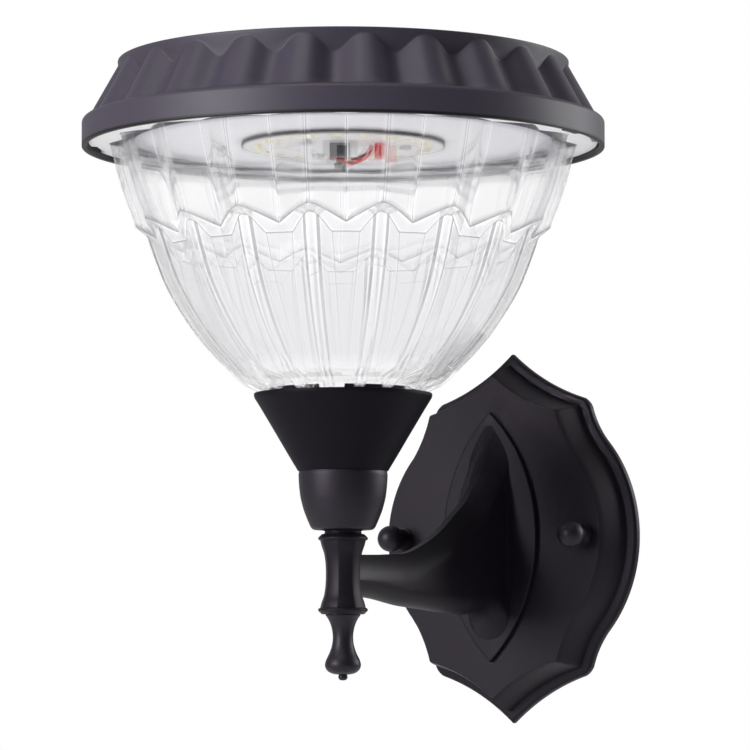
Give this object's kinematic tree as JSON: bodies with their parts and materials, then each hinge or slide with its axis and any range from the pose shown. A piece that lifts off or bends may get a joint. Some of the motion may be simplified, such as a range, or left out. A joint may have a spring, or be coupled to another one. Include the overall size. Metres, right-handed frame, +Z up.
{
  "type": "solar wall light",
  "caption": "Outdoor solar wall light: round fluted solar head that twists off a pleated clear bowl, on a cast bracket arm with a hollow back plate.",
  "frame": {"origin": "middle of the mounting face, on the wall", "axes": "+Z up, +Y into the wall, -Y out to the room, +X to the right seen from the room"},
  "size_m": [0.2, 0.218, 0.2531],
  "materials": {
    "charcoal": "satin",
    "zinc_steel": "satin",
    "black_rubber": "matt",
    "pale_rubber": "matt",
    "clear_plastic": "gloss",
    "white_plastic": "satin",
    "white_board": "satin",
    "led_yellow": "gloss",
    "solar_cells": "gloss",
    "cell_wrap": "gloss",
    "black_plastic": "satin",
    "green_board": "satin",
    "red_cable": "satin",
    "black_cable": "satin"
  },
  "bodies": {
    "wall_side": {"crossbar": "zinc_steel", "crossbar_studs": "zinc_steel", "back_plate": "charcoal", "stud_washers": "charcoal", "ball_nuts": "charcoal", "arm": "charcoal", "arm_screws": "zinc_steel", "stem_tube": "zinc_steel", "finial": "charcoal", "cup": "charcoal", "cone_holder": "charcoal", "lens_gasket": "black_rubber", "lens": "clear_plastic", "tube_nut": "zinc_steel", "tube_washer": "zinc_steel", "head_seal": "pale_rubber"},
    "head": {"crown": "charcoal", "solar_panel": "solar_cells", "panel_cover": "clear_plastic", "panel_gasket": "black_rubber", "under_cover": "white_plastic", "cover_screws": "zinc_steel", "led_board": "white_board", "leds": "led_yellow", "board_screws": "zinc_steel", "battery": "cell_wrap", "battery_holder": "black_plastic", "control_board": "green_board", "switch_body": "black_plastic", "red_wire": "red_cable", "black_wire": "black_cable", "wire_plug": "red_cable"},
    "button": {"switch_button": "black_plastic"}
  },
  "joints": [
    {"name": "head_twist", "type": "hinge", "parent": "wall_side", "child": "head", "pos_m": [0, -0.118, 0.15], "axis": [0, 0, 1], "range_deg": [0, 20]},
    {"name": "switch_press", "type": "slide", "parent": "head", "child": "button", "axis": [0, 0, 1], "range_m": [0, 0.0015], "stiffness_N_per_m": 400, "springref_m": -0.0015}
  ]
}
